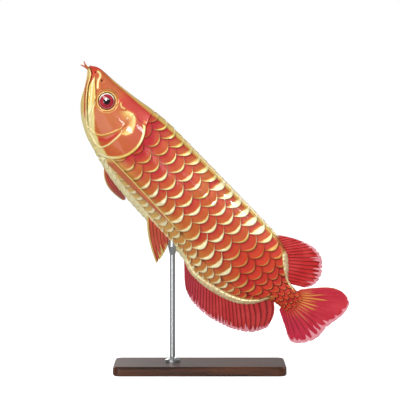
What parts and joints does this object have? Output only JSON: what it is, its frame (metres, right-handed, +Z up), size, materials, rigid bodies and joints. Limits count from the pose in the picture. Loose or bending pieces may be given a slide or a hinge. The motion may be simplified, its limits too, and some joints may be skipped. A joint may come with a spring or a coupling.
{
  "type": "asian arowana",
  "caption": "Life-size still model of a red Asian arowana swimming nose-up, held over a flat dark wood base by a slim steel rod.",
  "frame": {"origin": "centre of the base's underside, at the floor", "axes": "+Z up; -X the way the head points and up with it; -Y the side of the fish's left flank"},
  "size_m": [0.4547, 0.179, 0.5254],
  "materials": {
    "scaled_skin": "gloss",
    "head_skin": "gloss",
    "head_plate": "gloss",
    "jaw_gold": "gloss",
    "fin_red": "satin",
    "eye_gloss": "gloss",
    "dark_wood": "satin",
    "rod_steel": "brushed"
  },
  "bodies": {
    "root": {"head": "head_skin", "lower_jaw": "jaw_gold", "maxilla_left": "jaw_gold", "cheek_left": "head_plate", "gill_cover_left": "head_plate", "eye_left": "eye_gloss", "barbel_left": "fin_red", "maxilla_right": "jaw_gold", "cheek_right": "head_plate", "gill_cover_right": "head_plate", "eye_right": "eye_gloss", "barbel_right": "fin_red", "trunk_front": "scaled_skin", "trunk_rear": "scaled_skin", "tail_base": "scaled_skin", "dorsal_fin": "fin_red", "anal_fin": "fin_red", "caudal_fin": "fin_red", "pectoral_fin_left": "fin_red", "pelvic_fin_left": "fin_red", "pectoral_fin_right": "fin_red", "pelvic_fin_right": "fin_red", "stand_base": "dark_wood", "stand_rod": "rod_steel"}
  },
  "joints": []
}
